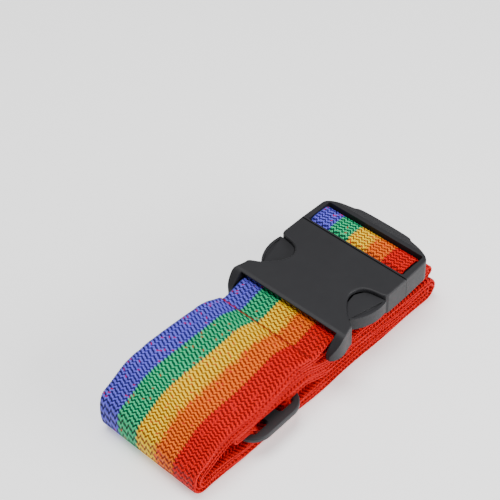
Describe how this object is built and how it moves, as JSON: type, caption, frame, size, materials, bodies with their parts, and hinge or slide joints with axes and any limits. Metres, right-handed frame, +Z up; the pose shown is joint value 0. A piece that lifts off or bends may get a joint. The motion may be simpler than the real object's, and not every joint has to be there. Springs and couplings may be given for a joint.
{
  "type": "luggage strap",
  "caption": "Rolled-up luggage strap of wide striped webbing with a side release buckle and a sliding length adjuster.",
  "frame": {"origin": "on the surface the roll lies on, under the middle of its box", "axes": "+X along the strap towards the buckle's plug, +Y across the webbing towards the blue edge, +Z up"},
  "size_m": [0.148, 0.061, 0.0301],
  "materials": {
    "buckle_plastic": "satin moulded acetal, fine spark texture",
    "slider_plastic": "satin moulded acetal",
    "striped_webbing": "woven polypropylene, five lengthwise stripes",
    "sealed_edge": "melted webbing edge",
    "thread": "twisted polyester thread"
  },
  "bodies": {
    "strap": {"female_housing": "buckle_plastic", "webbing_main": "striped_webbing", "webbing_sewn_end": "striped_webbing", "webbing_tail": "striped_webbing", "webbing_cut_end": "sealed_edge", "end_stitching": "thread", "webbing_thread_upper": "striped_webbing", "webbing_thread_lower": "striped_webbing", "webbing_doubled_inner": "striped_webbing", "webbing_doubled_outer": "striped_webbing", "webbing_plug_loop": "striped_webbing"},
    "plug": {"plug_frame": "buckle_plastic"},
    "latch_left": {"latch_arm_left": "buckle_plastic"},
    "latch_right": {"latch_arm_right": "buckle_plastic"},
    "slider": {"slider": "slider_plastic"}
  },
  "joints": [
    {"name": "plug_slide", "type": "slide", "parent": "strap", "child": "plug", "axis": [1, 0, 0], "range_m": [0, 0.04], "deforming": ["webbing_plug_loop", "latch_arm_left", "latch_arm_right"]},
    {"name": "latch_left_squeeze", "type": "hinge", "parent": "plug", "child": "latch_left", "pos_m": [0.046, 0.022, 0.0247], "axis": [0, 0, 1], "range_deg": [0, 9], "stiffness_Nm_per_rad": 0.8},
    {"name": "latch_right_squeeze", "type": "hinge", "parent": "plug", "child": "latch_right", "pos_m": [0.046, -0.022, 0.0247], "axis": [0, 0, -1], "range_deg": [0, 9], "stiffness_Nm_per_rad": 0.8},
    {"name": "slider_slide", "type": "slide", "parent": "strap", "child": "slider", "axis": [1, 0, 0], "range_m": [-0.003, 0.003], "deforming": ["webbing_thread_upper", "webbing_thread_lower"]}
  ]
}
